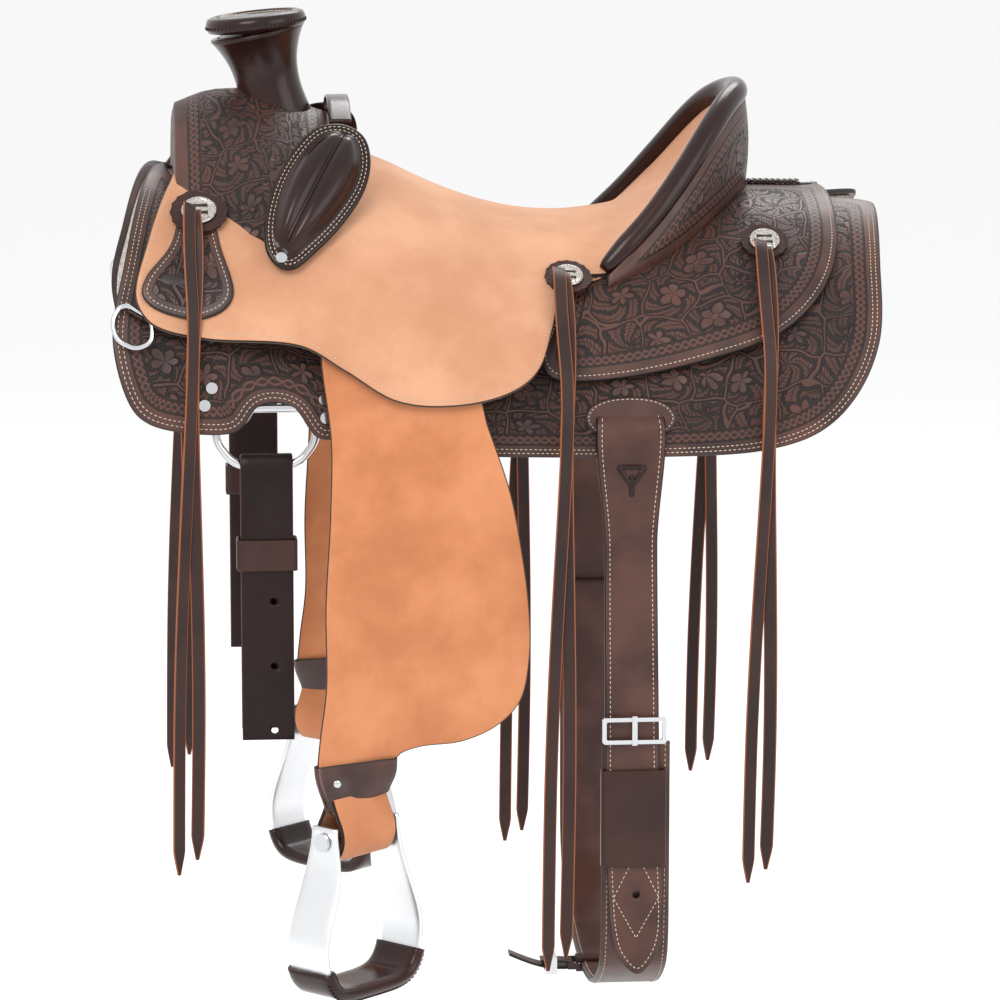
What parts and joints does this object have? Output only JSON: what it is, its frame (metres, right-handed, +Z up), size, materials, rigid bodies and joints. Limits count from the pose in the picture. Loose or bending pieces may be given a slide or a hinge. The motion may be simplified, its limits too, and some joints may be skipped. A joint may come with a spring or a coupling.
{
  "type": "western saddle",
  "caption": "Western stock saddle on a wooden tree with horn, bucking rolls, suede seat, tooled skirts and jockeys, swinging fenders with stirrups, latigo, off billet and flank cinch.",
  "frame": {"origin": "middle of the horse's back under the seat: the mid-plane, below the seat's lowest point", "axes": "+Z up, -X towards the horn, +X towards the cantle, -Y the near (left) side, +Y the off side"},
  "size_m": [0.7493, 0.6286, 0.9787],
  "materials": {
    "wood": "bare",
    "dark_leather": "tooled",
    "gloss_leather": "polished",
    "seat_suede": "roughout",
    "fender_suede": "roughout",
    "black_leather": "waxed",
    "billet_leather": "satin",
    "string_leather": "satin",
    "fleece": "wool pile",
    "strainer_plate": "galvanised",
    "polished_steel": "polished",
    "brushed_aluminium": "brushed",
    "concho_silver": "satin"
  },
  "bodies": {
    "tree": {"fork": "wood", "horn_core": "wood", "cantle_board": "wood", "seat_strainer": "strainer_plate", "fork_cover": "dark_leather", "horn_wrap": "gloss_leather", "horn_cap": "gloss_leather", "seat_leather": "seat_suede", "cantle_roll": "gloss_leather", "cantle_back": "dark_leather", "roll_strap": "gloss_leather", "roll_screws": "polished_steel", "jockey_lacing": "gloss_leather", "rigging_rivets": "polished_steel", "concho_rosettes": "dark_leather", "conchos": "concho_silver", "breast_tabs": "black_leather", "bar_near": "wood", "bar_off": "wood", "bucking_roll_near": "gloss_leather", "bucking_roll_off": "gloss_leather", "skirt_near": "dark_leather", "skirt_off": "dark_leather", "fleece_near": "fleece", "fleece_off": "fleece", "rear_jockey_near": "dark_leather", "rear_jockey_off": "dark_leather", "rigging_dee_near": "polished_steel", "rigging_dee_off": "polished_steel", "latigo_holder_near": "dark_leather", "latigo_holder_off": "dark_leather", "strings_near": "string_leather", "strings_off": "string_leather"},
    "flank_set": {"flank_billets": "billet_leather", "flank_cinch": "billet_leather", "flank_buckles": "polished_steel", "flank_keeper": "billet_leather", "connector_keeper": "billet_leather"},
    "connector": {"connector_strap": "billet_leather", "connector_buckle": "polished_steel"},
    "leather_near": {"stirrup_leather_near": "black_leather"},
    "fender_near": {"fender_near": "fender_suede", "hobble_strap_near": "dark_leather"},
    "stirrup_near": {"stirrup_near": "brushed_aluminium", "stirrup_bolt_near": "polished_steel", "tread_cover_near": "gloss_leather"},
    "latigo_near": {"latigo_near": "black_leather"},
    "latigo_keeper_near": {"latigo_keeper_near": "billet_leather"},
    "breast_dee_near": {"breast_dee_near": "polished_steel"},
    "buckle_tongue_near": {"buckle_tongue_near": "polished_steel"},
    "leather_off": {"stirrup_leather_off": "black_leather"},
    "fender_off": {"fender_off": "fender_suede", "hobble_strap_off": "dark_leather"},
    "stirrup_off": {"stirrup_off": "brushed_aluminium", "stirrup_bolt_off": "polished_steel", "tread_cover_off": "gloss_leather"},
    "latigo_off": {"off_billet": "black_leather"},
    "latigo_keeper_off": {"latigo_keeper_off": "billet_leather"},
    "breast_dee_off": {"breast_dee_off": "polished_steel"},
    "buckle_tongue_off": {"buckle_tongue_off": "polished_steel"}
  },
  "joints": [
    {"name": "fender_swing_near", "type": "hinge", "parent": "tree", "child": "leather_near", "pos_m": [-0.158, 0, 0.06], "axis": [0, 1, 0], "range_deg": [-2, 12], "deforming": ["strings_near"]},
    {"name": "fender_lift_near", "type": "hinge", "parent": "leather_near", "child": "fender_near", "pos_m": [-0.158, -0.248, -0.07], "axis": [1, 0, 0], "range_deg": [-75, 0], "deforming": ["strings_near"]},
    {"name": "stirrup_tilt_near", "type": "hinge", "parent": "fender_near", "child": "stirrup_near", "pos_m": [-0.158, -0.2481, -0.472], "axis": [-0.7071, -0.7071, 0], "range_deg": [-30, 30]},
    {"name": "latigo_swing_near", "type": "hinge", "parent": "tree", "child": "latigo_near", "pos_m": [-0.24, -0.213, -0.119], "axis": [1, 0, 0], "range_deg": [-40, 8], "deforming": ["strings_near"]},
    {"name": "keeper_slide_near", "type": "slide", "parent": "latigo_near", "child": "latigo_keeper_near", "axis": [0, 0, 1], "range_m": [-0.13, 0.055]},
    {"name": "breast_dee_flip_near", "type": "hinge", "parent": "tree", "child": "breast_dee_near", "pos_m": [-0.36, -0.19692, 0.028], "axis": [0.8437, -0.2362, -0.4821], "range_deg": [-45, 0]},
    {"name": "buckle_tongue_near", "type": "hinge", "parent": "flank_set", "child": "buckle_tongue_near", "pos_m": [0.111, -0.2375, -0.389], "axis": [1, 0, 0], "range_deg": [0, 100]},
    {"name": "fender_swing_off", "type": "hinge", "parent": "tree", "child": "leather_off", "pos_m": [-0.158, 0, 0.06], "axis": [0, 1, 0], "range_deg": [-2, 12], "deforming": ["strings_off"]},
    {"name": "fender_lift_off", "type": "hinge", "parent": "leather_off", "child": "fender_off", "pos_m": [-0.158, 0.248, -0.07], "axis": [1, 0, 0], "range_deg": [0, 75], "deforming": ["strings_off"]},
    {"name": "stirrup_tilt_off", "type": "hinge", "parent": "fender_off", "child": "stirrup_off", "pos_m": [-0.158, 0.2481, -0.472], "axis": [-0.7071, 0.7071, 0], "range_deg": [-30, 30]},
    {"name": "latigo_swing_off", "type": "hinge", "parent": "tree", "child": "latigo_off", "pos_m": [-0.24, 0.213, -0.119], "axis": [1, 0, 0], "range_deg": [-8, 40], "deforming": ["strings_off"]},
    {"name": "keeper_slide_off", "type": "slide", "parent": "latigo_off", "child": "latigo_keeper_off", "axis": [0, 0, 1], "range_m": [-0.13, 0.055]},
    {"name": "breast_dee_flip_off", "type": "hinge", "parent": "tree", "child": "breast_dee_off", "pos_m": [-0.36, 0.19692, 0.028], "axis": [0.8437, 0.2362, -0.4821], "range_deg": [0, 45]},
    {"name": "buckle_tongue_off", "type": "hinge", "parent": "flank_set", "child": "buckle_tongue_off", "pos_m": [0.111, 0.2375, -0.31], "axis": [1, 0, 0], "range_deg": [-100, 0]},
    {"name": "flank_swing", "type": "hinge", "parent": "tree", "child": "flank_set", "pos_m": [0.108, 0, -0.075], "axis": [0, 1, 0], "range_deg": [-5, 5], "deforming": ["strings_near", "strings_off"]},
    {"name": "connector_swing", "type": "hinge", "parent": "flank_set", "child": "connector", "pos_m": [0.071, 0, -0.672], "axis": [0, 1, 0], "range_deg": [-50, 30]}
  ]
}
